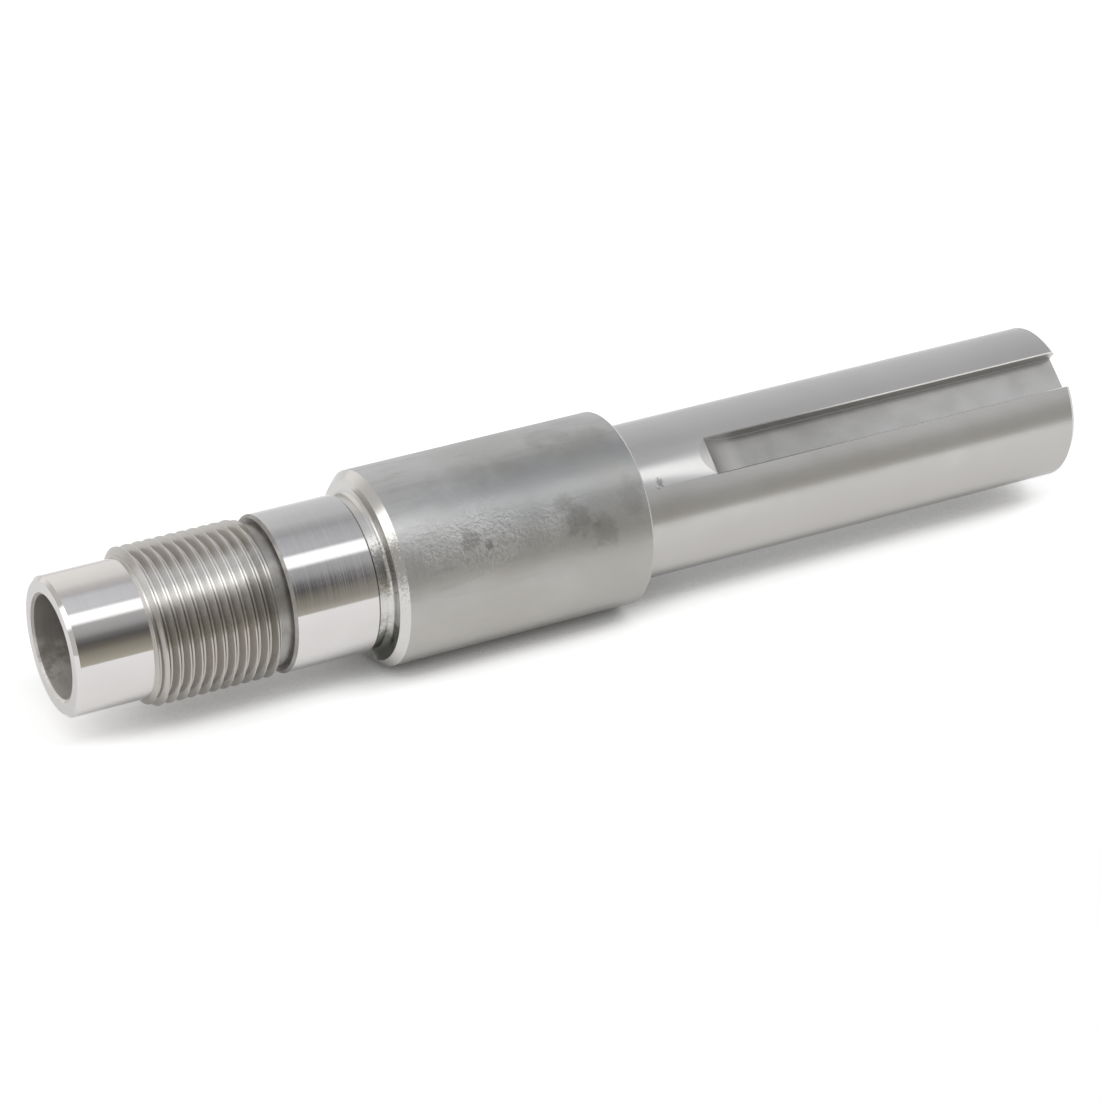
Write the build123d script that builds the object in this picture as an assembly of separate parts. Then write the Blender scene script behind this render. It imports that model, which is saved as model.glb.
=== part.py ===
from build123d import *
from math import radians, sqrt, tan
import os

# Spindle shaft, turned from one steel bar and ground on its two fitting diameters.
# From the nose down: a bored pilot nose, a fine outside thread, a relief groove, a ground bearing journal,
# an undercut, a collar left at the bar's own size, and a drive shaft with a keyway open at its end.
# The shaft stands on its drive end: +Z is its axis, pointing to the nose, the origin is the middle of
# the drive end's face, and the keyway faces -Y. Sizes are in millimetres.

# Lengths along the axis, from the drive end up to the nose
drive_length = 82.0
collar_length = 44.1
shoulder_undercut_length = 2.6
journal_length = 14.1
thread_relief_length = 1.9
thread_length = 20.8
nose_length = 12.3

# Diameters
bar_diameter = 31.75
drive_diameter = 25.4
journal_diameter = 25.4
thread_diameter = 25.3
nose_diameter = 22.225
bore_diameter = 16.5

# Outside thread, 60 degree form, right hand
thread_pitch = 25.4 / 14
thread_form_angle = 60.0
thread_crest_share = 0.125
thread_depth_share = 0.6134
thread_start_turn = 29.0
thread_lead_length = 1.0
thread_relief_clearance = 0.15

# Blind bore in the nose, with the cone that its drill left
bore_depth = 42.0
bore_point_angle = 118.0

# Keyway, and the cutter that left it
key_width = 6.35
keyway_length = 67.6
keyway_depth = 3.175
keyway_cutter_radius = 11.0
keyway_edge_break = 0.22
keyway_dressing_length = 1.9
keyway_clearance = 1.0

# Undercut at the collar's shoulder
undercut_depth = 0.4
shoulder_fillet = 1.0

# Broken edges and corners
collar_front_chamfer = 1.25
collar_back_chamfer = 0.35
collar_back_fillet = 0.8
drive_end_chamfer = 0.9
thread_relief_chamfer = 0.45
nose_edge_chamfer = 0.6
bore_mouth_chamfer = 0.4

# Heights of the shoulders, each from the one below
collar_bottom = drive_length
collar_top = collar_bottom + collar_length
journal_bottom = collar_top + shoulder_undercut_length
journal_top = journal_bottom + journal_length
thread_bottom = journal_top + thread_relief_length
nose_bottom = thread_bottom + thread_length
nose_top = nose_bottom + nose_length

# Radii
bar_radius = bar_diameter / 2
drive_radius = drive_diameter / 2
journal_radius = journal_diameter / 2
thread_radius = thread_diameter / 2
nose_radius = nose_diameter / 2
bore_radius = bore_diameter / 2
thread_root_radius = thread_radius - thread_depth_share * thread_pitch
relief_radius = thread_root_radius - thread_relief_clearance
undercut_radius = journal_radius - undercut_depth


def half_profile():
    """The turned outline on the XZ plane, from the axis at the drive end to the axis at the nose."""
    outline = [
        (0, 0),
        (drive_radius - drive_end_chamfer, 0),
        (drive_radius, drive_end_chamfer),
        (drive_radius, collar_bottom),
        (bar_radius - collar_back_chamfer, collar_bottom),
        (bar_radius, collar_bottom + collar_back_chamfer),
        (bar_radius, collar_top - collar_front_chamfer),
        (bar_radius - collar_front_chamfer, collar_top),
        (undercut_radius, collar_top),
        (undercut_radius, journal_bottom - undercut_depth),
        (journal_radius, journal_bottom),
        (journal_radius, journal_top - thread_relief_chamfer),
        (journal_radius - thread_relief_chamfer, journal_top),
        (relief_radius, journal_top),
        (relief_radius, thread_bottom),
        (thread_radius, thread_bottom),
        (thread_radius, nose_bottom - thread_lead_length),
        (nose_radius, nose_bottom),
        (nose_radius, nose_top - nose_edge_chamfer),
        (nose_radius - nose_edge_chamfer, nose_top),
        (0, nose_top),
    ]
    return Plane.XZ * make_face(Polyline(outline, close=True))


def turned_blank():
    """The bar as it leaves the lathe and the grinder, before the thread, bore and keyway."""
    blank = revolve(half_profile(), Axis.Z)
    circles = blank.edges().filter_by(GeomType.CIRCLE)
    shoulder_corner = ring_edge(circles, undercut_radius, collar_top)
    blank = fillet(shoulder_corner, shoulder_fillet)
    circles = blank.edges().filter_by(GeomType.CIRCLE)
    return fillet(ring_edge(circles, drive_radius, collar_bottom), collar_back_fillet)


def ring_edge(circles, radius, height):
    """The round edge of the given radius at the given height."""
    return [e for e in circles if abs(e.radius - radius) < 1e-4 and abs(e.center().Z - height) < 1e-4]


def thread_vee():
    """The four corners of the threading tool's vee, as radius and height from the middle of the groove."""
    flank = tan(radians(thread_form_angle / 2))
    open_radius = thread_radius + thread_relief_clearance
    crest_half = thread_pitch * (1 - thread_crest_share) / 2
    open_half = crest_half + (open_radius - thread_radius) * flank
    root_half = crest_half - (thread_radius - thread_root_radius) * flank
    lower = [(thread_root_radius, -root_half), (open_radius, -open_half)]
    upper = [(open_radius, open_half), (thread_root_radius, root_half)]
    return lower + upper


def groove_turn(height):
    """One turn of the thread's groove, a solid closed by ruled faces between its four helical edges."""
    rails = [Helix(thread_pitch, thread_pitch, radius, center=(0, 0, z)).edge() for radius, z in thread_vee()]
    sides = [Face.make_surface_from_curves(rail, rails[i - 1]) for i, rail in enumerate(rails)]
    ends = [Face(Wire.make_polygon([rail @ end for rail in rails], close=True)) for end in (0, 1)]
    return Pos(0, 0, height) * Rot(0, 0, thread_start_turn) * Solid(Shell(sides + ends))


def thread_groove():
    """The turns of the groove, from inside the relief groove to open air past the nose's chamfer."""
    first = thread_bottom - thread_relief_length / 2
    turns = int(thread_length / thread_pitch) + 2
    return [groove_turn(first + turn * thread_pitch) for turn in range(turns)]


def nose_bore():
    """The blind bore from the nose, with its chamfered mouth and its drill point."""
    point_depth = bore_radius / tan(radians(bore_point_angle / 2))
    bottom = nose_top - bore_depth
    outline = Polyline(
        (0, nose_top),
        (bore_radius + bore_mouth_chamfer, nose_top),
        (bore_radius, nose_top - bore_mouth_chamfer),
        (bore_radius, bottom),
        (0, bottom - point_depth),
        close=True,
    )
    return revolve(Plane.XZ * make_face(outline), Axis.Z)


def keyway_cut():
    """The key's slot: flat floor, the cutter's round run-out, and a dressed flat at its blind end."""
    floor = drive_radius - keyway_depth
    edge_height = sqrt(drive_radius**2 - (key_width / 2) ** 2)
    sag = drive_radius - edge_height
    run_out = sqrt(keyway_cutter_radius**2 - (keyway_cutter_radius - (edge_height - floor)) ** 2)
    arc_start = keyway_length - run_out
    middle = run_out / 2
    middle_rise = keyway_cutter_radius - sqrt(keyway_cutter_radius**2 - middle**2)
    clear = drive_radius + keyway_clearance
    slope = sag / keyway_dressing_length
    dressed_end = keyway_length + (clear - edge_height) / slope
    side = Polyline((clear, 0), (floor, 0), (floor, arc_start))
    side += ThreePointArc((floor, arc_start), (floor + middle_rise, arc_start + middle), (edge_height, keyway_length))
    side += Polyline((edge_height, keyway_length), (clear, dressed_end), (clear, 0))
    slot = extrude(Plane.XZ * make_face(side), key_width / 2, both=True)
    return Rot(0, 0, -90) * slot


def keyway_edge_cut():
    """The narrow bevels along the keyway's two long edges."""
    edge_height = sqrt(drive_radius**2 - (key_width / 2) ** 2)
    half = key_width / 2
    corners = [(half, edge_height - keyway_edge_break), (half + keyway_edge_break, edge_height)]
    corners += [(half + 2 * keyway_edge_break, edge_height + keyway_edge_break), (half, edge_height + keyway_edge_break)]
    bevel = extrude(make_face(Polyline(corners, close=True)), keyway_length)
    pair = bevel + mirror(bevel, Plane.YZ)
    return Rot(0, 0, 180) * pair


def spindle_shaft():
    """The finished shaft, one solid."""
    shaft = turned_blank() - nose_bore()
    shaft = shaft - keyway_cut() - keyway_edge_cut()
    return shaft - thread_groove()


os.makedirs("parts", exist_ok=True)
shaft = spindle_shaft()
shaft.label = "spindle_shaft"
export_step(shaft, "parts/spindle_shaft.step")
print("length %.2f mm, volume %.1f mm3, valid %s" % (nose_top, shaft.volume, shaft.is_valid))
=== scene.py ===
import math
import bpy
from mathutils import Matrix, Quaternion, Vector


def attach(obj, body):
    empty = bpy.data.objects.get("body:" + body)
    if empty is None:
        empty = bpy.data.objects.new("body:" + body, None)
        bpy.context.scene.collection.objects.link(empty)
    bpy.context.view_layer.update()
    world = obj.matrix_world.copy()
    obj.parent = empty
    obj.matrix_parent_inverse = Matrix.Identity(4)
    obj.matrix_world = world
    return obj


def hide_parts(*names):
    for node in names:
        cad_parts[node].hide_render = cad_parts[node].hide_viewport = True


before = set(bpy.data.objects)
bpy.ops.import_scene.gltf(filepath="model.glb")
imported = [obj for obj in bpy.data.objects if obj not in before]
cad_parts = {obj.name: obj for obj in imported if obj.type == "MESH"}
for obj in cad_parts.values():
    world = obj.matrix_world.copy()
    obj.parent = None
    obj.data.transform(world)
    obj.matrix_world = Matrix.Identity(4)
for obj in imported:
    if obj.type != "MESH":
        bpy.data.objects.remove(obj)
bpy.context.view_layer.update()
collection = bpy.context.scene.collection

# The camera stands where the photographer stood, fitted to the outlines of the shaft. The shaft's
# own frame has it upright on its drive end, so the camera is rolled to show it lying down.
camera_place = Vector((-0.193383, -0.555321, 0.350867))
camera_aim = Vector((-0.004095, 0.001392, 0.093747))
camera_roll = -104.296
camera_lens = 131.13
camera_film = 36

camera_data = bpy.data.cameras.new("camera")
camera_data.lens = camera_lens
camera_data.sensor_width = camera_film
camera = bpy.data.objects.new("camera", camera_data)
camera.location = camera_place
level_look = (camera_aim - camera_place).to_track_quat("-Z", "Y")
camera.rotation_mode = "QUATERNION"
camera.rotation_quaternion = level_look @ Quaternion((0, 0, 1), math.radians(camera_roll))
collection.objects.link(camera)
bpy.context.scene.camera = camera
bpy.context.scene.view_settings.view_transform = "Standard"


# The studio: a white sweep with a long soft box over the bench and the dark of the room behind the
# camera, which the polished steel shows as bands along the shaft. Angles go round the shaft from the
# camera's side, minus towards the soft box and plus towards the bench. Heights are a direction's Z.
camera_side = 250.8
nose_bands = [
    (-180, (1.45, 1.42, 1.40)),
    (-150, (1.28, 1.26, 1.23)),
    (-118, (1.15, 1.13, 1.10)),
    (-98, (1.03, 1.00, 0.98)),
    (-88, (0.80, 0.78, 0.77)),
    (-78, (0.68, 0.68, 0.68)),
    (-70, (0.86, 0.87, 0.91)),
    (-50, (0.92, 0.94, 0.98)),
    (-42, (0.85, 0.85, 0.87)),
    (-24, (0.64, 0.64, 0.64)),
    (-12, (0.55, 0.55, 0.55)),
    (-6, (0.46, 0.46, 0.46)),
    (0, (0.25, 0.25, 0.25)),
    (8, (0.14, 0.135, 0.13)),
    (16, (0.21, 0.19, 0.16)),
    (24, (0.36, 0.34, 0.28)),
    (40, (0.56, 0.53, 0.44)),
    (60, (1.10, 1.07, 1.04)),
    (180, (1.45, 1.42, 1.40)),
]
journal_bands = [
    (-180, (1.18, 1.19, 1.22)),
    (-150, (1.00, 1.01, 1.04)),
    (-118, (0.80, 0.81, 0.83)),
    (-98, (0.70, 0.71, 0.73)),
    (-88, (0.57, 0.58, 0.60)),
    (-78, (0.48, 0.49, 0.51)),
    (-70, (0.55, 0.56, 0.60)),
    (-50, (0.66, 0.68, 0.72)),
    (-24, (0.58, 0.59, 0.61)),
    (-10, (0.42, 0.43, 0.45)),
    (0, (0.20, 0.20, 0.21)),
    (10, (0.125, 0.125, 0.125)),
    (20, (0.24, 0.23, 0.20)),
    (32, (0.36, 0.345, 0.30)),
    (42, (0.56, 0.54, 0.48)),
    (60, (1.05, 1.02, 1.00)),
    (180, (1.18, 1.19, 1.22)),
]
drive_bands = [
    (-180, (1.25, 1.25, 1.26)),
    (-150, (1.02, 1.03, 1.04)),
    (-120, (0.86, 0.87, 0.88)),
    (-80, (0.70, 0.70, 0.71)),
    (-40, (0.70, 0.71, 0.72)),
    (-20, (0.80, 0.80, 0.81)),
    (-4, (0.84, 0.84, 0.84)),
    (8, (0.76, 0.76, 0.75)),
    (18, (0.61, 0.60, 0.58)),
    (34, (0.55, 0.54, 0.51)),
    (60, (1.00, 0.99, 0.97)),
    (180, (1.25, 1.25, 1.26)),
]
nose_side_colour = (0.72, 0.71, 0.69)
drive_side_colour = (1.0, 0.99, 0.98)
soft_box_span = (-43, -25)
soft_box_edge = 2.5
soft_box_foot = (-0.80, -0.62)
soft_box_head = (0.5, 0.3)
soft_box_strength = 1.08
window_direction = Vector((0.366, -0.339, 0.864))
window_edge = (0.955, 0.985)
window_strength = 1.6
nose_to_journal = (-0.30, -0.34)
journal_to_drive = (-0.362, -0.395)
to_nose_side = (0.30, 0.60)
to_drive_side = (-0.60, -0.95)
sky_share = 0.55


def add_node(tree, kind, inputs=None, **settings):
    """A new node with its settings, and its inputs given by name as values or as sockets to link."""
    node = tree.nodes.new(kind)
    for name, value in settings.items():
        setattr(node, name, value)
    for name, value in (inputs or {}).items():
        socket = node.inputs[name]
        if isinstance(value, bpy.types.NodeSocket):
            tree.links.new(value, socket)
        else:
            socket.default_value = value
    return node


def maths(tree, operation, *values, clamp=False):
    """One Math node's result."""
    return add_node(
        tree, "ShaderNodeMath", dict(enumerate(values)), operation=operation, use_clamp=clamp
    ).outputs[0]


def smooth_step(tree, value, low, high):
    """0 below low and 1 above high, with a soft change between them."""
    node = add_node(
        tree,
        "ShaderNodeMapRange",
        {"Value": value, "From Min": low, "From Max": high},
        interpolation_type="SMOOTHSTEP",
    )
    return node.outputs["Result"]


def blend(tree, share, first, second, how="MIX"):
    """Mixes two colours by a share from 0 to 1."""
    node = add_node(tree, "ShaderNodeMix", data_type="RGBA", blend_type=how)
    for socket, value in zip((node.inputs[0], node.inputs[6], node.inputs[7]), (share, first, second)):
        if isinstance(value, bpy.types.NodeSocket):
            tree.links.new(value, socket)
        else:
            socket.default_value = (*value, 1) if isinstance(value, tuple) else value
    return node.outputs[2]


def colour_ramp(tree, share, stops):
    """A ramp through (place, colour) stops."""
    ramp = add_node(tree, "ShaderNodeValToRGB", {"Fac": share})
    points = ramp.color_ramp.elements
    while len(points) < len(stops):
        points.new(0.5)
    for point, (place, colour) in zip(points, stops):
        point.position = place
        point.color = (*colour, 1)
    return ramp.outputs["Color"]


def seen_as_backdrop(tree):
    """1 for what the camera sees, straight, in metal or through glass."""
    path = add_node(tree, "ShaderNodeLightPath").outputs
    either = maths(tree, "MAXIMUM", path["Is Camera Ray"], path["Is Glossy Ray"])
    return maths(tree, "MAXIMUM", either, path["Is Transmission Ray"])


world = bpy.data.worlds.new("studio")
world.use_nodes = True
bpy.context.scene.world = world
sky = world.node_tree
sky.nodes.clear()
direction = add_node(sky, "ShaderNodeTexCoord").outputs["Generated"]
turned = add_node(
    sky,
    "ShaderNodeVectorRotate",
    {"Vector": direction, "Angle": -math.radians(camera_side)},
    rotation_type="Z_AXIS",
).outputs[0]
across = add_node(sky, "ShaderNodeSeparateXYZ", {0: turned}).outputs
angle = maths(sky, "MULTIPLY", maths(sky, "ARCTAN2", across[1], across[0]), -180 / math.pi)
round_shaft = maths(sky, "MULTIPLY_ADD", angle, 1 / 360, 0.5)
at_nose, at_journal, at_drive = [
    colour_ramp(sky, round_shaft, [((a + 180) / 360, c) for a, c in bands])
    for bands in (nose_bands, journal_bands, drive_bands)
]
room = blend(sky, smooth_step(sky, across[2], *nose_to_journal), at_nose, at_journal)
room = blend(sky, smooth_step(sky, across[2], *journal_to_drive), room, at_drive)
room = blend(sky, smooth_step(sky, across[2], *to_nose_side), room, nose_side_colour)
room = blend(sky, smooth_step(sky, across[2], *to_drive_side), room, drive_side_colour)
to_window = add_node(
    sky, "ShaderNodeVectorMath", {0: direction, 1: window_direction}, operation="DOT_PRODUCT"
).outputs["Value"]
window_light = maths(sky, "MULTIPLY", smooth_step(sky, to_window, *window_edge), window_strength)
room = blend(sky, 1.0, room, window_light, "ADD")
box_start, box_end = soft_box_span
box_share = maths(
    sky,
    "MULTIPLY",
    smooth_step(sky, angle, box_start - soft_box_edge, box_start + soft_box_edge),
    smooth_step(sky, angle, box_end + soft_box_edge, box_end - soft_box_edge),
)
box_length = maths(
    sky,
    "MULTIPLY",
    smooth_step(sky, across[2], *soft_box_foot),
    smooth_step(sky, across[2], *soft_box_head),
)
box_light = maths(sky, "MULTIPLY", maths(sky, "MULTIPLY", box_share, box_length), soft_box_strength)
room = blend(sky, 1.0, room, box_light, "ADD")
camera_ray = add_node(sky, "ShaderNodeLightPath").outputs["Is Camera Ray"]
backdrop = blend(sky, camera_ray, room, (1.0, 1.0, 1.0))
strength = maths(sky, "MULTIPLY_ADD", seen_as_backdrop(sky), 1 - sky_share, sky_share)
backdrop_light = add_node(sky, "ShaderNodeBackground", {"Color": backdrop, "Strength": strength})
add_node(sky, "ShaderNodeOutputWorld", {"Surface": backdrop_light.outputs[0]})


# The same soft box as a lamp, which gives the shadow its edge. The steel sees the box in the world.
lamp_angle = 281.5
lamp_away = 1.0
lamp_width = 0.30
lamp_length = 1.5
lamp_power = 4.9
shaft_middle = 0.09

lamp_data = bpy.data.lights.new("soft_box_lamp", "AREA")
lamp_data.shape = "RECTANGLE"
lamp_data.size, lamp_data.size_y = lamp_width, lamp_length
lamp_data.energy = lamp_power
lamp = bpy.data.objects.new("soft_box_lamp", lamp_data)
lamp_turn = math.radians(lamp_angle)
lamp_way = Vector((math.cos(lamp_turn), math.sin(lamp_turn), 0))
lamp.location = lamp_way * lamp_away + Vector((0, 0, shaft_middle))
lamp.rotation_mode = "QUATERNION"
lamp.rotation_quaternion = (-lamp_way).to_track_quat("-Z", "Y")
lamp.visible_glossy = False
lamp.visible_camera = False
collection.objects.link(lamp)


# The bench the shaft was laid on: a plain white sheet that touches the collar. It is part of the
# studio and not of the shaft. From behind it lets the view through, so that no side is hidden.
bench_towards_shaft = Vector((0.6261, -0.7797, 0))
bench_gap = 0.015895
bench_back = 1.6
bench_front = 0.10
bench_half_length = 1.5
bench_white = (0.80, 0.80, 0.80)
# Painted shade: the grey the sheet turns where ambient occlusion is deep.
bench_painted_contact_shade = (0.40, 0.40, 0.40)
bench_top_up = 0.5
shade_reach = 0.12
shade_span = (0.05, 0.43)
painted_contact_shade_span = (0.0, 0.38)
mirrored_shade = 0.22

bench_mesh = bpy.data.meshes.new("bench")
bench_front_way = bench_towards_shaft.cross(Vector((0, 0, 1))).normalized()
if bench_front_way.dot(camera_place) < 0:
    bench_front_way.negate()
bench_corners = [
    bench_towards_shaft * -bench_gap + bench_front_way * out + Vector((0, 0, shaft_middle + along))
    for out, along in (
        (-bench_back, -bench_half_length),
        (bench_front, -bench_half_length),
        (bench_front, bench_half_length),
        (-bench_back, bench_half_length),
    )
]
bench_mesh.from_pydata(bench_corners, [], [(0, 1, 2, 3)])
bench_mesh.update()
if bench_mesh.polygons[0].normal.dot(bench_towards_shaft) < 0:
    bench_mesh.flip_normals()
bench = bpy.data.objects.new("bench", bench_mesh)
collection.objects.link(bench)
bench_material = bpy.data.materials.new("bench_white")
bench_material.use_nodes = True
sheet = bench_material.node_tree
sheet.nodes.clear()
# Painted shade: ambient occlusion greys the sheet near the shaft and fades its glow there.
open_sky = add_node(
    sheet, "ShaderNodeAmbientOcclusion", {"Distance": shade_reach}, samples=8
).outputs["AO"]
sheet_colour_painted_shade = blend(sheet, smooth_step(sheet, open_sky, *painted_contact_shade_span), bench_painted_contact_shade, bench_white)
matt = add_node(sheet, "ShaderNodeBsdfDiffuse", {"Color": sheet_colour_painted_shade})
in_the_open = smooth_step(sheet, open_sky, *shade_span)
mirrored = add_node(sheet, "ShaderNodeLightPath").outputs["Is Glossy Ray"]
in_the_open = maths(sheet, "MAXIMUM", in_the_open, maths(sheet, "MULTIPLY", mirrored, mirrored_shade))
top_up = maths(
    sheet, "MULTIPLY", maths(sheet, "MULTIPLY", seen_as_backdrop(sheet), in_the_open), bench_top_up
)
glow = add_node(sheet, "ShaderNodeEmission", {"Color": (1, 1, 1, 1), "Strength": top_up})
lit = add_node(sheet, "ShaderNodeAddShader", {0: matt.outputs[0], 1: glow.outputs[0]})
open_back = add_node(sheet, "ShaderNodeBsdfTransparent")
behind = add_node(sheet, "ShaderNodeNewGeometry").outputs["Backfacing"]
one_sided = add_node(
    sheet, "ShaderNodeMixShader", {0: behind, 1: lit.outputs[0], 2: open_back.outputs[0]}
)
add_node(sheet, "ShaderNodeOutputMaterial", {"Surface": one_sided.outputs[0]})
bench_mesh.materials.append(bench_material)


# The shaft itself, turned from one steel bar. Its outline is spun round the axis: the drive end, the
# collar at the bar's own size, the undercut, the journal, the thread's blank, the nose and the bore.
bar_radius = 15.875
drive_radius = 12.7
journal_radius = 12.7
thread_radius = 12.65
thread_root_radius = 11.537
relief_radius = 11.387
undercut_radius = 12.3
nose_radius = 11.1125
bore_radius = 8.25
collar_bottom = 82.0
collar_top = 126.1
journal_bottom = 128.7
journal_top = 142.8
thread_bottom = 144.7
nose_bottom = 165.5
nose_top = 177.8
bore_bottom = 135.8
bore_point = 130.843
drive_end_chamfer = 0.9
collar_back_fillet = 0.8
collar_back_chamfer = 0.35
collar_front_chamfer = 1.25
shoulder_fillet = 1.0
undercut_ramp = 0.4
journal_chamfer = 0.45
lead_chamfer_length = 1.0
nose_edge_chamfer = 0.6
bore_mouth_chamfer = 0.4
facets_round = 360
long_face = 3
holding_loop = 0.12
millimetre = 0.001


def rounded_corner(centre, radius, start, end, steps=7):
    """Points of a fillet in the outline, as distance from the axis and height."""
    turns = [math.radians(start + (end - start) * i / steps) for i in range(steps + 1)]
    return [(centre[0] + radius * math.cos(t), centre[1] + radius * math.sin(t)) for t in turns]


shaft_outline = [
    (0, 0),
    (drive_radius - drive_end_chamfer, 0),
    (drive_radius, drive_end_chamfer),
    *rounded_corner(
        (drive_radius + collar_back_fillet, collar_bottom - collar_back_fillet),
        collar_back_fillet,
        180,
        90,
    ),
    (bar_radius - collar_back_chamfer, collar_bottom),
    (bar_radius, collar_bottom + collar_back_chamfer),
    (bar_radius, collar_top - collar_front_chamfer),
    (bar_radius - collar_front_chamfer, collar_top),
    *rounded_corner(
        (undercut_radius + shoulder_fillet, collar_top + shoulder_fillet),
        shoulder_fillet,
        270,
        180,
    ),
    (undercut_radius, journal_bottom - undercut_ramp),
    (journal_radius, journal_bottom),
    (journal_radius, journal_top - journal_chamfer),
    (journal_radius - journal_chamfer, journal_top),
    (relief_radius, journal_top),
    (relief_radius, thread_bottom),
    (thread_radius, thread_bottom),
    (thread_radius, nose_bottom - lead_chamfer_length),
    (nose_radius, nose_bottom),
    (nose_radius, nose_top - nose_edge_chamfer),
    (nose_radius - nose_edge_chamfer, nose_top),
    (bore_radius + bore_mouth_chamfer, nose_top),
    (bore_radius, nose_top - bore_mouth_chamfer),
    (bore_radius, bore_bottom),
    (0, bore_point),
]
held_outline = [shaft_outline[0]]
for (r0, z0), (r1, z1) in zip(shaft_outline, shaft_outline[1:]):
    run = math.hypot(r1 - r0, z1 - z0)
    if run > long_face:
        near = holding_loop / run
        held_outline += [(r0 + (r1 - r0) * t, z0 + (z1 - z0) * t) for t in (near, 1 - near)]
    held_outline.append((r1, z1))
outline_mesh = bpy.data.meshes.new("shaft_outline")
outline_mesh.from_pydata([(r * millimetre, 0, z * millimetre) for r, z in held_outline], [], [])


def new_tree(name, sizes):
    """A Geometry Nodes tree with its named inputs and the nodes at its two ends."""
    tree = bpy.data.node_groups.new(name, "GeometryNodeTree")
    tree.interface.new_socket("Geometry", in_out="INPUT", socket_type="NodeSocketGeometry")
    for size, value in sizes.items():
        kind = "NodeSocketInt" if isinstance(value, int) else "NodeSocketFloat"
        tree.interface.new_socket(size, in_out="INPUT", socket_type=kind)
    tree.interface.new_socket("Geometry", in_out="OUTPUT", socket_type="NodeSocketGeometry")
    start = add_node(tree, "NodeGroupInput").outputs
    end = add_node(tree, "NodeGroupOutput")
    return tree, start, end.inputs[0]


def made_by(tree, mesh, sizes, name):
    """Runs a tree on a mesh with its sizes and returns the result as a plain mesh."""
    worker = bpy.data.objects.new(name, mesh)
    collection.objects.link(worker)
    modifier = worker.modifiers.new(name, "NODES")
    modifier.node_group = tree
    for socket in tree.interface.items_tree:
        if socket.in_out == "INPUT" and socket.name in sizes:
            modifier[socket.identifier] = sizes[socket.name]
    graph = bpy.context.evaluated_depsgraph_get()
    made = bpy.data.meshes.new_from_object(worker.evaluated_get(graph))
    worker.modifiers.remove(modifier)
    bpy.data.objects.remove(worker)
    return made


spin_sizes = {"Facets Round": facets_round}
spin, spin_in, spin_out = new_tree("spin_outline", spin_sizes)
points = add_node(
    spin, "GeometryNodeAttributeDomainSize", {0: spin_in["Geometry"]}
).outputs["Point Count"]
facets = spin_in["Facets Round"]
sheet_grid = add_node(
    spin,
    "GeometryNodeMeshGrid",
    {"Vertices X": maths(spin, "ADD", facets, 1.0), "Vertices Y": points},
).outputs[0]
index = add_node(spin, "GeometryNodeInputIndex").outputs[0]
own_place = add_node(spin, "GeometryNodeInputPosition").outputs[0]
outline_point = add_node(
    spin,
    "GeometryNodeSampleIndex",
    {
        "Geometry": spin_in["Geometry"],
        "Value": own_place,
        "Index": maths(spin, "FLOORED_MODULO", index, points),
    },
    data_type="FLOAT_VECTOR",
    domain="POINT",
).outputs[0]
column = maths(spin, "FLOOR", maths(spin, "DIVIDE", index, points))
turn = maths(spin, "MULTIPLY", maths(spin, "DIVIDE", column, facets), math.tau)
spun = add_node(
    spin,
    "ShaderNodeVectorRotate",
    {"Vector": outline_point, "Angle": turn},
    rotation_type="Z_AXIS",
).outputs[0]
placed = add_node(
    spin, "GeometryNodeSetPosition", {"Geometry": sheet_grid, "Position": spun}
).outputs[0]
closed = add_node(
    spin, "GeometryNodeMergeByDistance", {"Geometry": placed, "Distance": 2e-7}
).outputs[0]
spin.links.new(closed, spin_out)
blank_mesh = made_by(spin, outline_mesh, spin_sizes, "turned_blank")


# How bare steel looks once it is worked. The tools left fine rings round the axis, and handling and
# storage left soft clouds and ragged stains on the skin. The same ragged patches also paint light and
# shade on some of the finishes. Each feature's finish below shares these.
def effect(name, sizes, results):
    """An empty shader node group with named sizes in and named results out."""
    group = bpy.data.node_groups.new(name, "ShaderNodeTree")
    for size, value in sizes.items():
        socket = group.interface.new_socket(size, in_out="INPUT", socket_type="NodeSocketFloat")
        socket.default_value = value
    for result, kind in results.items():
        group.interface.new_socket(result, in_out="OUTPUT", socket_type=kind)
    start = add_node(group, "NodeGroupInput").outputs
    return group, start, add_node(group, "NodeGroupOutput").inputs


tool_rings, rings_in, rings_out = effect(
    "tool_rings",
    {"Rings A Metre": 4000.0, "Waver": 6.0},
    {"Height": "NodeSocketFloat", "Bands": "NodeSocketFloat", "From Axis": "NodeSocketFloat"},
)
here = add_node(tool_rings, "ShaderNodeTexCoord").outputs["Object"]
xyz = add_node(tool_rings, "ShaderNodeSeparateXYZ", {0: here}).outputs
from_axis = maths(
    tool_rings,
    "SQRT",
    maths(tool_rings, "MULTIPLY_ADD", xyz[0], xyz[0], maths(tool_rings, "MULTIPLY", xyz[1], xyz[1])),
)
out_and_up = maths(tool_rings, "ADD", from_axis, xyz[2])
feed = maths(tool_rings, "MULTIPLY", out_and_up, rings_in["Rings A Metre"])
drift = add_node(
    tool_rings,
    "ShaderNodeVectorMath",
    {0: here, "Scale": rings_in["Waver"]},
    operation="SCALE",
).outputs[0]
drift_xyz = add_node(tool_rings, "ShaderNodeSeparateXYZ", {0: drift}).outputs
ring_place = add_node(
    tool_rings, "ShaderNodeCombineXYZ", {0: feed, 1: drift_xyz[0], 2: drift_xyz[1]}
).outputs[0]
fine = add_node(
    tool_rings, "ShaderNodeTexNoise", {"Vector": ring_place, "Scale": 1.0, "Detail": 3.0, "Roughness": 0.6}
).outputs[0]
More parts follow.
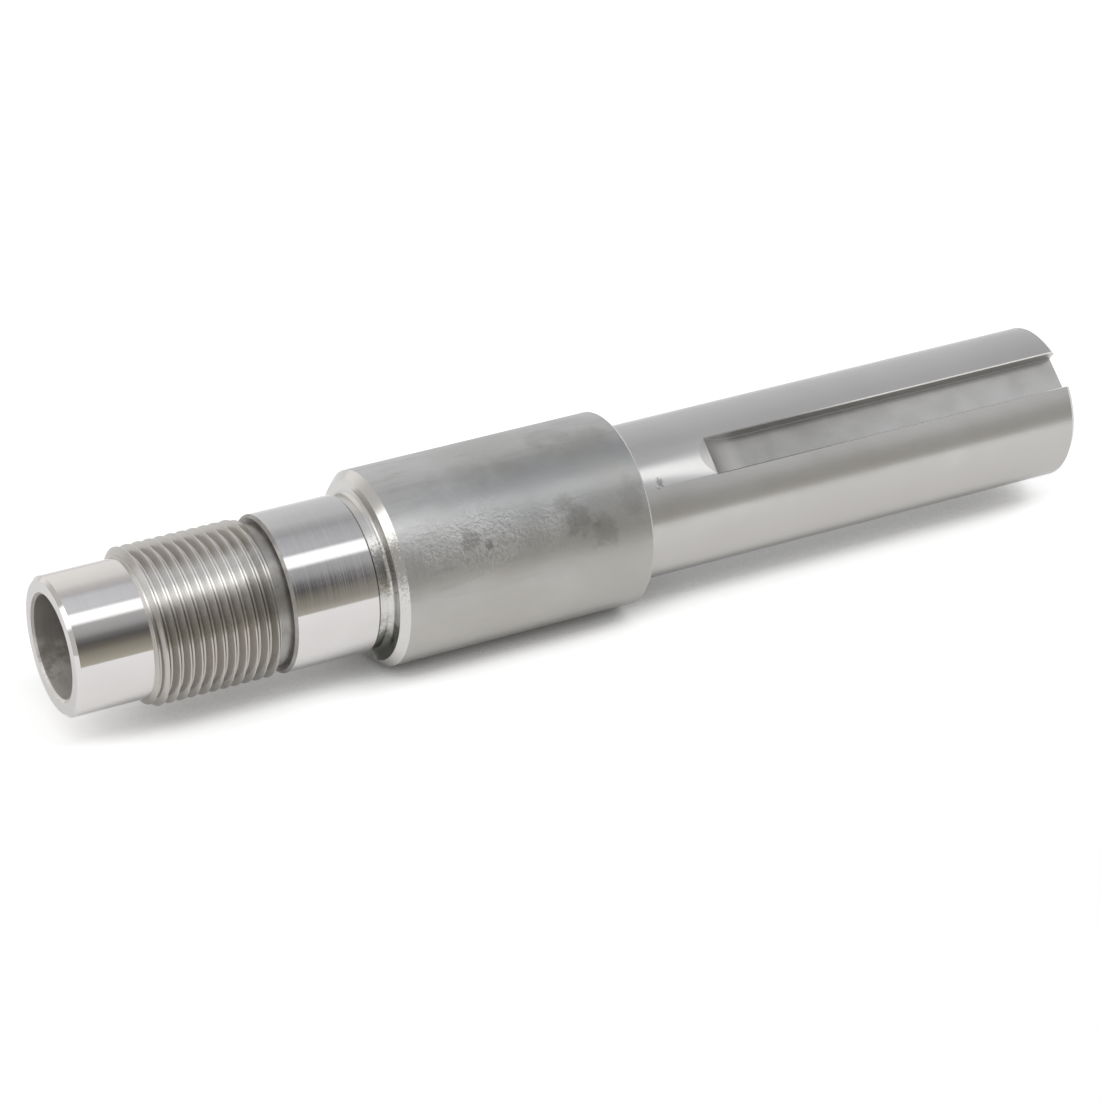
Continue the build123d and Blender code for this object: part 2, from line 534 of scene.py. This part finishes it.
slow_place = add_node(
    tool_rings,
    "ShaderNodeCombineXYZ",
    {0: maths(tool_rings, "MULTIPLY", feed, 0.13), 1: drift_xyz[1], 2: drift_xyz[0]},
).outputs[0]
slow = add_node(
    tool_rings, "ShaderNodeTexNoise", {"Vector": slow_place, "Scale": 1.0, "Detail": 2.0, "Roughness": 0.5}
).outputs[0]
tool_rings.links.new(fine, rings_out["Height"])
tool_rings.links.new(slow, rings_out["Bands"])
tool_rings.links.new(from_axis, rings_out["From Axis"])

clouds, clouds_in, clouds_out = effect(
    "clouds", {"Scale": 90.0, "Detail": 5.0, "Low": 0.4, "High": 0.6}, {"Share": "NodeSocketFloat"}
)
here = add_node(clouds, "ShaderNodeTexCoord").outputs["Object"]
soft = add_node(
    clouds,
    "ShaderNodeTexNoise",
    {"Vector": here, "Scale": clouds_in["Scale"], "Detail": clouds_in["Detail"], "Roughness": 0.58},
).outputs[0]
clouds.links.new(smooth_step(clouds, soft, clouds_in["Low"], clouds_in["High"]), clouds_out["Share"])

stain_or_painted_light, stain_or_painted_light_in, stain_or_painted_light_out = effect(
    "stain_or_painted_light",
    {
        "X": 0.0,
        "Y": 0.0,
        "Height": 0.0,
        "Reach Round": 0.003,
        "Reach Along": 0.003,
        "Ragged": 0.8,
        "Scale": 400.0,
    },
    {"Share": "NodeSocketFloat"},
)
here = add_node(stain_or_painted_light, "ShaderNodeTexCoord").outputs["Object"]
centre = add_node(
    stain_or_painted_light, "ShaderNodeCombineXYZ", {0: stain_or_painted_light_in["X"], 1: stain_or_painted_light_in["Y"], 2: stain_or_painted_light_in["Height"]}
).outputs[0]
away = add_node(stain_or_painted_light, "ShaderNodeVectorMath", {0: here, 1: centre}, operation="SUBTRACT").outputs[0]
reach = add_node(
    stain_or_painted_light,
    "ShaderNodeCombineXYZ",
    {0: stain_or_painted_light_in["Reach Round"], 1: stain_or_painted_light_in["Reach Round"], 2: stain_or_painted_light_in["Reach Along"]},
).outputs[0]
share_away = add_node(stain_or_painted_light, "ShaderNodeVectorMath", {0: away, 1: reach}, operation="DIVIDE").outputs[0]
distance = add_node(stain_or_painted_light, "ShaderNodeVectorMath", {0: share_away}, operation="LENGTH").outputs["Value"]
edge_noise = add_node(
    stain_or_painted_light, "ShaderNodeTexNoise", {"Vector": here, "Scale": stain_or_painted_light_in["Scale"], "Detail": 4.0, "Roughness": 0.6}
).outputs[0]
uneven = maths(stain_or_painted_light, "MULTIPLY", maths(stain_or_painted_light, "SUBTRACT", edge_noise, 0.5), stain_or_painted_light_in["Ragged"])
stain_or_painted_light.links.new(
    smooth_step(stain_or_painted_light, maths(stain_or_painted_light, "MULTIPLY_ADD", uneven, 3.0, distance), 1.1, 0.4), stain_or_painted_light_out["Share"]
)


edge_tint = (0.8, 0.8, 0.8, 1)


def steel_finish(name):
    """A new bare-steel material: its tree and its shader, linked to the output."""
    material = bpy.data.materials.new(name)
    material.use_nodes = True
    tree = material.node_tree
    tree.nodes.clear()
    shader = add_node(tree, "ShaderNodeBsdfPrincipled", {"Metallic": 1.0, "Specular Tint": edge_tint})
    add_node(tree, "ShaderNodeOutputMaterial", {"Surface": shader.outputs[0]})
    return material, tree, shader.inputs


def use(tree, group, sizes):
    """Places an effect with its own sizes and returns its results."""
    node = add_node(tree, "ShaderNodeGroup", node_tree=group)
    for size, value in sizes.items():
        node.inputs[size].default_value = value
    return node.outputs


def raised(tree, height, distance):
    """A bump normal from a height."""
    return add_node(
        tree, "ShaderNodeBump", {"Height": height, "Distance": distance, "Strength": 1.0}
    ).outputs[0]


def ranged(tree, value, low, high):
    """Spreads a 0 to 1 value from low to high."""
    return maths(tree, "MULTIPLY_ADD", value, high - low, low)


def place_stain_or_painted_light(tree, radius, around, height, reach_round, reach_along, strength, ragged, scale):
    """One stain's or painted mark's share, placed by its angle from the camera's side and its height, in
    millimetres.
    """
    part_angle = math.radians(camera_side - around)
    sizes = {
        "X": radius * math.cos(part_angle) * millimetre,
        "Y": radius * math.sin(part_angle) * millimetre,
        "Height": height * millimetre,
        "Reach Round": reach_round * millimetre,
        "Reach Along": reach_along * millimetre,
        "Ragged": ragged,
        "Scale": scale,
    }
    return maths(tree, "MULTIPLY", use(tree, stain_or_painted_light, sizes)["Share"], strength)


def with_stains_and_painted_light(tree, colour, radius, rows_of_marks):
    """Lays stains and painted light or shade over a colour in order, each a row of the sizes that place one
    mark and then its own colour.
    """
    for *sizes, mark_colour in rows_of_marks:
        colour = blend(tree, place_stain_or_painted_light(tree, radius, *sizes), colour, mark_colour)
    return colour


def dress(tree, shader, colour, roughness, normal=None):
    """Links a finish's colour, roughness and, where it has one, its bump normal."""
    tree.links.new(colour, shader["Base Color"])
    tree.links.new(roughness, shader["Roughness"])
    if normal:
        tree.links.new(normal, shader["Normal"])


# The pilot nose and the bearing journal are ground and then polished to a mirror, with only a faint
# haze and the wheel's last rings left on them.
polished_steel, tree, shader = steel_finish("polished_steel")
rings = use(tree, tool_rings, {"Rings A Metre": 9000.0, "Waver": 5.0})
haze = use(tree, clouds, {"Scale": 60.0, "Detail": 4.0, "Low": 0.35, "High": 0.7})["Share"]
dress(
    tree,
    shader,
    blend(tree, haze, (0.62, 0.605, 0.595), (0.59, 0.575, 0.565)),
    ranged(tree, haze, 0.055, 0.10),
    raised(tree, rings["Height"], 0.000004),
)


# The outside thread, cut with a single-point tool: a vee of 60 degrees that climbs one pitch a turn,
# from the relief groove out through the lead chamfer at the nose. The groove and the relief are left
# dull from the tool, and only the crests are bright. The relief is also painted dark, as painted shade.
thread_pitch = 25.4 / 14
thread_turns = 13
thread_start_height = 143.75
thread_start_angle = 29.0
groove_share = 0.875
past_crest = 0.15
flank_slope = math.tan(math.pi / 6)
thread_depth = thread_radius - thread_root_radius

thread_sizes = {
    "Pitch": thread_pitch * millimetre,
    "Turns": thread_turns,
    "Steps A Turn": facets_round,
    "Start Height": thread_start_height * millimetre,
    "Start Angle": math.radians(thread_start_angle),
    "Root Radius": thread_root_radius * millimetre,
    "Open Radius": (thread_radius + past_crest) * millimetre,
    "Root Half Width": (thread_pitch * groove_share / 2 - thread_depth * flank_slope) * millimetre,
    "Open Half Width": (thread_pitch * groove_share / 2 + past_crest * flank_slope) * millimetre,
}
vee, vee_in, vee_out = new_tree("thread_groove", thread_sizes)
bar_of_four = add_node(
    vee,
    "GeometryNodeMeshCylinder",
    {
        "Vertices": 4,
        "Side Segments": maths(vee, "MULTIPLY", vee_in["Turns"], vee_in["Steps A Turn"]),
        "Radius": 1.0,
        "Depth": 1.0,
    },
    fill_type="NGON",
).outputs["Mesh"]
at_start = add_node(vee, "GeometryNodeInputPosition").outputs[0]
place = add_node(vee, "ShaderNodeSeparateXYZ", {0: at_start}).outputs
lowest = add_node(
    vee, "GeometryNodeAttributeStatistic", {0: bar_of_four, 2: place[2]}
).outputs["Min"]
along = maths(vee, "SUBTRACT", place[2], lowest)
upper = maths(vee, "GREATER_THAN", maths(vee, "ADD", place[0], place[1]), 0.0)
outer = maths(vee, "GREATER_THAN", maths(vee, "SUBTRACT", place[0], place[1]), 0.0)


def either(tree, share, low, high):
    """low where the share is 0 and high where it is 1."""
    return maths(tree, "MULTIPLY_ADD", share, maths(tree, "SUBTRACT", high, low), low)


radius = either(vee, outer, vee_in["Root Radius"], vee_in["Open Radius"])
half_width = either(vee, outer, vee_in["Root Half Width"], vee_in["Open Half Width"])
side = maths(vee, "MULTIPLY_ADD", upper, 2.0, -1.0)
turns_done = maths(vee, "MULTIPLY", along, vee_in["Turns"])
climb = maths(vee, "MULTIPLY_ADD", turns_done, vee_in["Pitch"], vee_in["Start Height"])
height = maths(vee, "MULTIPLY_ADD", side, half_width, climb)
groove_angle = maths(vee, "MULTIPLY_ADD", turns_done, math.tau, vee_in["Start Angle"])
corner = add_node(vee, "ShaderNodeCombineXYZ", {0: radius, 2: height}).outputs[0]
wound = add_node(
    vee, "ShaderNodeVectorRotate", {"Vector": corner, "Angle": groove_angle}, rotation_type="Z_AXIS"
).outputs[0]
groove = add_node(
    vee, "GeometryNodeSetPosition", {"Geometry": bar_of_four, "Position": wound}
).outputs[0]
vee.links.new(add_node(vee, "GeometryNodeFlipFaces", {0: groove}).outputs[0], vee_out)
groove_mesh = made_by(vee, bpy.data.meshes.new("thread_start"), thread_sizes, "thread_groove")

crest_from = 0.01205
crest_to = 0.01250
# The thread's rows: the first two paint shade on the bench side and on the top, the third paints a highlight
# in the soft box's band, and the last is a stain on the turns by the journal.
thread_painted_light_and_stain = (
    (58, 155, 17.0, 90.0, 0.9, 0.2, 80.0, (0.44, 0.42, 0.39)),
    (-88, 155, 11.0, 90.0, 0.85, 0.2, 80.0, (0.47, 0.455, 0.43)),
    (-25, 155, 4.6, 90.0, 0.85, 0.2, 80.0, (0.82, 0.81, 0.79)),
    (10, 144.8, 15.0, 4.6, 0.55, 0.5, 200.0, (0.33, 0.32, 0.30)),
)
thread_middle = 12

thread_steel, tree, shader = steel_finish("thread_steel")
rings = use(tree, tool_rings, {"Rings A Metre": 12000.0, "Waver": 9.0})
haze = use(tree, clouds, {"Scale": 300.0, "Detail": 4.0, "Low": 0.35, "High": 0.7})["Share"]
crest = smooth_step(tree, rings["From Axis"], crest_from, crest_to)
flanks = blend(tree, haze, (0.60, 0.575, 0.54), (0.49, 0.465, 0.43))
threaded = blend(tree, crest, flanks, (0.62, 0.605, 0.585))
dress(
    tree,
    shader,
    with_stains_and_painted_light(tree, threaded, thread_middle, thread_painted_light_and_stain),
    ranged(tree, crest, 0.26, 0.21),
    raised(tree, rings["Height"], 0.000008),
)

# Painted shade: the relief groove, and the journal's chamfer next to it, are given a dark colour for the
# shade that falls there.
relief_steel_painted_shade, tree, shader = steel_finish("relief_steel_painted_shade")
haze = use(tree, clouds, {"Scale": 400.0, "Detail": 3.0, "Low": 0.35, "High": 0.7})["Share"]
dress(
    tree,
    shader,
    blend(tree, haze, (0.35, 0.34, 0.325), (0.28, 0.27, 0.255)),
    ranged(tree, haze, 0.36, 0.44),
)


# The undercut and the shoulder were turned with one tool, like the plain faces at the back of the
# collar and the drive's end. Dark grit and dried oil are left in the undercut and on the shoulder, and
# the undercut's bench side is darkened with painted shade.
undercut_marks_and_painted_shade = (
    (3, 127.4, 4.0, 2.2, 0.5, 1.6, 2600.0, (0.16, 0.15, 0.14)),
    (78, 127.4, 8.0, 6.0, 0.95, 0.5, 300.0, (0.12, 0.125, 0.105)),
)
undercut_middle = 12.6
shoulder_marks = ((2, 125.6, 5.0, 2.5, 0.42, 1.6, 2600.0, (0.18, 0.17, 0.16)),)
shoulder_middle = 15.3


def turned(name, rings_a_metre, waver, light, dark, smooth, rough, ring_height=0, radius=0, marks=()):
    """A finish straight from the lathe: light and dark rings, and the marks on it at a radius."""
    finish, tree, shader = steel_finish(name)
    rings = use(tree, tool_rings, {"Rings A Metre": rings_a_metre, "Waver": waver})
    dress(
        tree,
        shader,
        with_stains_and_painted_light(tree, blend(tree, rings["Bands"], light, dark), radius, marks),
        ranged(tree, rings["Bands"], smooth, rough),
        raised(tree, rings["Height"], ring_height) if ring_height else None,
    )
    return finish


turned_steel = turned(
    "turned_steel",
    rings_a_metre=7000.0,
    waver=8.0,
    light=(0.64, 0.63, 0.615),
    dark=(0.57, 0.56, 0.545),
    smooth=0.12,
    rough=0.24,
    ring_height=0.00001,
)
undercut_steel = turned(
    "undercut_steel",
    rings_a_metre=3500.0,
    waver=12.0,
    light=(0.68, 0.67, 0.655),
    dark=(0.52, 0.51, 0.495),
    smooth=0.18,
    rough=0.34,
    ring_height=0.00002,
    radius=undercut_middle,
    marks=undercut_marks_and_painted_shade,
)
shoulder_steel = turned(
    "shoulder_steel",
    rings_a_metre=7000.0,
    waver=8.0,
    light=(0.62, 0.61, 0.595),
    dark=(0.55, 0.54, 0.525),
    smooth=0.14,
    rough=0.26,
    ring_height=0.00001,
    radius=shoulder_middle,
    marks=shoulder_marks,
)


# The collar is the bar as it was bought, with its mill skin: grey, drifting, streaked along the bar,
# rough where the light rakes it, and marked with old oil and dark scale. Painted shade darkens its
# bench side and dims the soft box's highlight, and its back end is darker towards the bench.
oil_colour = (0.30, 0.305, 0.275)
scale_colour = (0.21, 0.205, 0.195)
collar_marks_and_painted_shade = (
    (65, 104, 17.0, 60.0, 0.8, 0.3, 80.0, (0.40, 0.385, 0.36)),
    (-24, 90, 7.5, 34.0, 0.85, 0.3, 80.0, (0.31, 0.315, 0.315)),
    (40, 86, 20.0, 17.0, 0.5, 0.5, 120.0, (0.37, 0.365, 0.345)),
    (-42, 90, 4.0, 7.0, 0.40, 0.7, 160.0, oil_colour),
    (-40, 109, 3.0, 9.0, 0.28, 0.7, 160.0, oil_colour),
    (-58, 94, 3.5, 5.0, 0.25, 0.7, 160.0, oil_colour),
    (-44, 100, 4.0, 8.0, 0.22, 0.7, 160.0, oil_colour),
    (-2, 113.6, 2.4, 1.6, 0.45, 0.8, 480.0, scale_colour),
    (5, 110.4, 1.0, 0.9, 0.65, 0.8, 480.0, scale_colour),
    (2, 94.4, 3.0, 3.2, 0.46, 0.8, 480.0, scale_colour),
    (13, 90.5, 3.2, 2.4, 0.35, 0.8, 480.0, scale_colour),
    (-3, 84.8, 4.4, 2.2, 0.26, 0.8, 480.0, scale_colour),
    (-9, 97.0, 1.8, 1.8, 0.30, 0.8, 480.0, scale_colour),
)
grainy_place = (-2, 111, 6.0, 17.0, 0.9, 0.5, 150.0)
streak_stretch = (1.0, 1.0, 0.16)

bar_skin, tree, shader = steel_finish("bar_skin")
drift = use(tree, clouds, {"Scale": 55.0, "Detail": 3.0, "Low": 0.35, "High": 0.68})["Share"]
grain = use(tree, clouds, {"Scale": 1600.0, "Detail": 4.0, "Low": 0.35, "High": 0.65})["Share"]
skin = blend(tree, drift, (0.52, 0.52, 0.52), (0.46, 0.46, 0.455))
grainy = place_stain_or_painted_light(tree, bar_radius, *grainy_place)
grain_share = maths(tree, "MULTIPLY", grain, maths(tree, "MULTIPLY_ADD", grainy, 0.85, 0.12))
skin = blend(tree, maths(tree, "MULTIPLY", grain_share, 0.42), skin, (0.70, 0.695, 0.69))
skin_place = add_node(tree, "ShaderNodeTexCoord").outputs["Object"]
along_bar = add_node(
    tree, "ShaderNodeVectorMath", {0: skin_place, 1: streak_stretch}, operation="MULTIPLY"
).outputs[0]
streaks = add_node(
    tree, "ShaderNodeTexNoise", {"Vector": along_bar, "Scale": 900.0, "Detail": 4.0, "Roughness": 0.65}
).outputs[0]
streaked = maths(tree, "MULTIPLY", smooth_step(tree, streaks, 0.48, 0.70), 0.38)
skin = blend(tree, streaked, skin, (0.36, 0.355, 0.345))
dress(
    tree,
    shader,
    with_stains_and_painted_light(tree, skin, bar_radius, collar_marks_and_painted_shade),
    ranged(tree, drift, 0.33, 0.40),
    raised(tree, grain_share, 0.000035),
)


# The drive shaft is ground to a satin face, with fine rings, painted shade on the bench's side and one
# small nick near the collar.
nick_place = (-7.5, 78.0, 1.0, 0.75, 0.55, 0.7, 1200.0)
nick_depth = -6.0
drive_painted_shade = ((65, 45, 13.6, 150.0, 0.75, 0.3, 80.0, (0.44, 0.425, 0.405)),)

drive_steel, tree, shader = steel_finish("drive_steel")
rings = use(tree, tool_rings, {"Rings A Metre": 5000.0, "Waver": 4.0})
haze = use(tree, clouds, {"Scale": 45.0, "Detail": 4.0, "Low": 0.35, "High": 0.7})["Share"]
satin = blend(tree, haze, (0.525, 0.52, 0.515), (0.495, 0.488, 0.482))
satin = with_stains_and_painted_light(tree, satin, drive_radius, drive_painted_shade)
nick = place_stain_or_painted_light(tree, drive_radius, *nick_place)
dress(
    tree,
    shader,
    blend(tree, nick, satin, (0.16, 0.155, 0.15)),
    ranged(tree, haze, 0.19, 0.24),
    raised(tree, maths(tree, "MULTIPLY_ADD", nick, nick_depth, rings["Height"]), 0.000006),
)


# The keyway, milled with a small disc cutter that left a round run-out at the blind end. The end was
# then dressed flat and the two long edges were broken by hand.
key_width = 6.35
keyway_length = 67.6
keyway_depth = 3.175
keyway_floor = drive_radius - keyway_depth
keyway_cutter_radius = 11.0
keyway_edge_break = 0.22
dressing_length = 1.9
run_out_steps = 24
clear_of_shaft = 1.0

key_half_width = key_width / 2
keyway_edge = math.sqrt(drive_radius**2 - key_half_width**2)
run_out_turn = math.acos(1 - (keyway_edge - keyway_floor) / keyway_cutter_radius)
run_out_start = keyway_length - keyway_cutter_radius * math.sin(run_out_turn)
dressing_slope = (drive_radius - keyway_edge) / dressing_length
keyway_top = drive_radius + clear_of_shaft
past_end = -clear_of_shaft


def prism(corners, name):
    """A closed mesh between two like outlines, each a list of points."""
    count = len(corners) // 2
    ring = [(i, (i + 1) % count, (i + 1) % count + count, i + count) for i in range(count)]
    mesh = bpy.data.meshes.new(name)
    mesh.from_pydata(
        [tuple(c * millimetre for c in corner) for corner in corners],
        [],
        [tuple(range(count))[::-1], tuple(range(count, 2 * count)), *ring],
    )
    return mesh


slot_side = [(keyway_top, past_end), (keyway_floor, past_end)]
for step in range(run_out_steps + 1):
    turn = run_out_turn * step / run_out_steps
    rise = keyway_cutter_radius * (1 - math.cos(turn))
    slot_side.append((keyway_floor + rise, run_out_start + keyway_cutter_radius * math.sin(turn)))
slot_side.append((keyway_top, keyway_length + (keyway_top - keyway_edge) / dressing_slope))
slot_mesh = prism(
    [(x, -out, z) for x in (-key_half_width, key_half_width) for out, z in slot_side], "keyway_slot"
)
bevel_meshes = []
for side in (-1, 1):
    bevel_corners = [
        (key_half_width, keyway_edge - keyway_edge_break),
        (key_half_width + 2 * keyway_edge_break, keyway_edge + keyway_edge_break),
        (key_half_width, keyway_edge + keyway_edge_break),
    ][::-side]
    bevel_meshes.append(
        prism(
            [(side * x, -out, z) for z in (past_end, keyway_length) for x, out in bevel_corners],
            "keyway_bevel",
        )
    )

open_end_fades = (0.028, 0.052)
edge_darkens = (0.034, 0.056)
past_keyway = (0.075, 0.071)
run_out_fade = 3
wall_from = key_half_width - 0.12
wall_to = key_half_width - 0.04

# Painted light and shade in the keyway: its floor is painted dark deep in, lighter towards the open end and
# in the run-out, and its walls are painted light.
milled_steel_painted_light_and_shade, tree, shader = steel_finish("milled_steel_painted_light_and_shade")
haze = use(tree, clouds, {"Scale": 200.0, "Detail": 4.0, "Low": 0.35, "High": 0.7})["Share"]
cut_place = add_node(tree, "ShaderNodeTexCoord").outputs["Object"]
cut_xyz = add_node(tree, "ShaderNodeSeparateXYZ", {0: cut_place}).outputs
deep_painted_shade = blend(tree, haze, (0.325, 0.32, 0.315), (0.31, 0.305, 0.30))
open_end_lighter_painted_shade = blend(tree, haze, (0.417, 0.412, 0.407), (0.405, 0.40, 0.395))
floor_painted_shade = blend(tree, smooth_step(tree, cut_xyz[2], *open_end_fades), open_end_lighter_painted_shade, deep_painted_shade)
in_run_out = smooth_step(
    tree, cut_xyz[2], run_out_start * millimetre, (run_out_start + run_out_fade) * millimetre
)
floor_painted_shade = blend(tree, in_run_out, floor_painted_shade, (0.47, 0.465, 0.46))
sideways = maths(tree, "ABSOLUTE", cut_xyz[0])
on_wall_painted_light = smooth_step(tree, sideways, wall_from * millimetre, wall_to * millimetre)
dress(
    tree,
    shader,
    blend(tree, on_wall_painted_light, floor_painted_shade, (0.66, 0.655, 0.65)),
    ranged(tree, haze, 0.42, 0.48),
)

dressed_steel = turned(
    "dressed_steel",
    rings_a_metre=6000.0,
    waver=60.0,
    light=(0.47, 0.465, 0.455),
    dark=(0.39, 0.385, 0.375),
    smooth=0.22,
    rough=0.34,
)

# Painted highlight on the broken edges: a pale colour along them, which turns dark near the keyway's blind
# end. The collar's back edge takes it too.
broken_edge_painted_highlight, tree, shader = steel_finish("broken_edge_painted_highlight")
edge_place = add_node(tree, "ShaderNodeTexCoord").outputs["Object"]
edge_height = add_node(tree, "ShaderNodeSeparateXYZ", {0: edge_place}).outputs[2]
near_blind_end = maths(
    tree,
    "MULTIPLY",
    smooth_step(tree, edge_height, *edge_darkens),
    smooth_step(tree, edge_height, *past_keyway),
)
painted_edge_highlight = blend(tree, near_blind_end, (0.86, 0.85, 0.83), (0.34, 0.335, 0.33))
tree.links.new(painted_edge_highlight, shader["Base Color"])
shader["Roughness"].default_value = 0.32
shader["Metallic"].default_value = 0.7


# The bore was drilled and opened out with a boring bar, and is dulled by dust and old oil, with a
# painted highlight on one side of the mouth and painted shade on the other.
bore_painted_light_and_shade = (
    (128, 173, 9.5, 16.0, 0.85, 1.0, 350.0, (0.86, 0.84, 0.81)),
    (-140, 172, 9.0, 30.0, 0.8, 0.6, 250.0, (0.36, 0.35, 0.335)),
)

bored_steel, tree, shader = steel_finish("bored_steel")
rings = use(tree, tool_rings, {"Rings A Metre": 2500.0, "Waver": 20.0})
haze = use(tree, clouds, {"Scale": 350.0, "Detail": 5.0, "Low": 0.35, "High": 0.65})["Share"]
bored = blend(tree, haze, (0.60, 0.575, 0.545), (0.46, 0.43, 0.395))
dress(
    tree,
    shader,
    with_stains_and_painted_light(tree, bored, bore_radius, bore_painted_light_and_shade),
    ranged(tree, rings["Bands"], 0.35, 0.55),
    raised(tree, rings["Height"], 0.00004),
)
shader["Metallic"].default_value = 0.55


# The finished shaft: the groove, the keyway and its bevels are cut from the blank. Each row below gives
# a finish, its lowest and highest height and its least and greatest distance from the axis, in
# millimetres; a later row wins.
past_edge = 0.01
collar_back_edge = collar_bottom + collar_back_chamfer + past_edge
collar_front_edge = collar_top - collar_front_chamfer - past_edge
journal_front_edge = journal_top - journal_chamfer - past_edge

finish_zones = [
    (drive_steel, drive_end_chamfer, collar_bottom - collar_back_fillet, 12.6, 12.8),
    (milled_steel_painted_light_and_shade, -0.1, keyway_length + 4, 0, 12.6),
    (broken_edge_painted_highlight, -0.1, keyway_length, 12.53, 12.69),
    (dressed_steel, keyway_length - 0.05, keyway_length + 2, 12.25, 12.69),
    (turned_steel, -0.1, drive_end_chamfer + 0.05, 0, 13),
    (turned_steel, collar_bottom - collar_back_fillet, collar_back_edge, 12.6, 15.9),
    # The collar's back edge takes the painted edge highlight.
    (broken_edge_painted_highlight, collar_bottom + 0.02, collar_back_edge, 15.5, 15.9),
    (bar_skin, collar_back_edge, collar_front_edge, 15.8, 16),
    (shoulder_steel, collar_front_edge, collar_top - past_edge, 12, 15.9),
    (undercut_steel, collar_top - past_edge, journal_bottom + past_edge, 12, 14.7),
    (polished_steel, journal_bottom, journal_front_edge, 12.2, 12.8),
    # The journal's chamfer takes the relief's painted shade.
    (relief_steel_painted_shade, journal_front_edge, journal_top - 0.02, 11.2, 12.8),
    (relief_steel_painted_shade, journal_top - 0.02, thread_bottom + 0.02, 11.2, 12.8),
    (thread_steel, thread_bottom + 0.02, nose_bottom, 11.2, 12.8),
    (polished_steel, nose_bottom, nose_top + 0.1, 8.7, 11.2),
    (bored_steel, bore_point - 0.1, nose_top + 0.1, 0, 8.6),
]
first_finish = turned_steel
cutters = {
    "Thread Groove": groove_mesh,
    "Keyway Slot": slot_mesh,
    "Left Bevel": bevel_meshes[0],
    "Right Bevel": bevel_meshes[1],
}
finish_sizes = {"Sharp Edge Angle": math.radians(24)}
join, join_in, join_out = new_tree("finished_shaft", finish_sizes)
for cutter in cutters:
    join.interface.new_socket(cutter, in_out="INPUT", socket_type="NodeSocketObject")
cut = add_node(
    join,
    "GeometryNodeMeshBoolean",
    {"Mesh 1": join_in["Geometry"]},
    operation="DIFFERENCE",
    solver="MANIFOLD",
)
for cutter in cutters:
    tool = add_node(join, "GeometryNodeObjectInfo", {"Object": join_in[cutter]}).outputs["Geometry"]
    join.links.new(tool, cut.inputs["Mesh 2"])
edge_turn = add_node(join, "GeometryNodeInputMeshEdgeAngle").outputs["Unsigned Angle"]
smooth_edge = maths(join, "LESS_THAN", edge_turn, join_in["Sharp Edge Angle"])
smooth_faces = add_node(
    join, "GeometryNodeSetShadeSmooth", {"Geometry": cut.outputs[0], "Shade Smooth": True}
).outputs[0]
smoothed = add_node(
    join, "GeometryNodeSetShadeSmooth", {"Geometry": smooth_faces, "Shade Smooth": smooth_edge}, domain="EDGE"
).outputs[0]
shape = add_node(join, "GeometryNodeRealizeInstances", {0: smoothed}).outputs[0]
middle = add_node(join, "GeometryNodeInputPosition").outputs[0]
middle_xyz = add_node(join, "ShaderNodeSeparateXYZ", {0: middle}).outputs
flat = add_node(join, "ShaderNodeCombineXYZ", {0: middle_xyz[0], 1: middle_xyz[1]}).outputs[0]
out_from_axis = add_node(join, "ShaderNodeVectorMath", {0: flat}, operation="LENGTH").outputs["Value"]


def within(tree, value, low, high):
    """1 where a value lies between two sizes in millimetres."""
    above = maths(tree, "GREATER_THAN", value, low * millimetre)
    return maths(tree, "MULTIPLY", above, maths(tree, "LESS_THAN", value, high * millimetre))


shape = add_node(join, "GeometryNodeSetMaterial", {"Geometry": shape, "Material": first_finish}).outputs[0]
for material, low, high, inner, outer in finish_zones:
    zone = maths(
        join,
        "MULTIPLY",
        within(join, middle_xyz[2], low, high),
        within(join, out_from_axis, inner, outer),
    )
    shape = add_node(
        join, "GeometryNodeSetMaterial", {"Geometry": shape, "Selection": zone, "Material": material}
    ).outputs[0]
join.links.new(shape, join_out)

cutter_objects = {}
for cutter, mesh in cutters.items():
    cutter_objects[cutter] = bpy.data.objects.new("cutter", mesh)
    collection.objects.link(cutter_objects[cutter])
shaft_mesh = made_by(join, blank_mesh, {**finish_sizes, **cutter_objects}, "shaft_mesh")
for cutter in cutter_objects.values():
    bpy.data.objects.remove(cutter)

shaft = bpy.data.objects.new("turned_shaft", shaft_mesh)
collection.objects.link(shaft)
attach(shaft, "root")
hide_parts("spindle_shaft")


bpy.context.view_layer.update()
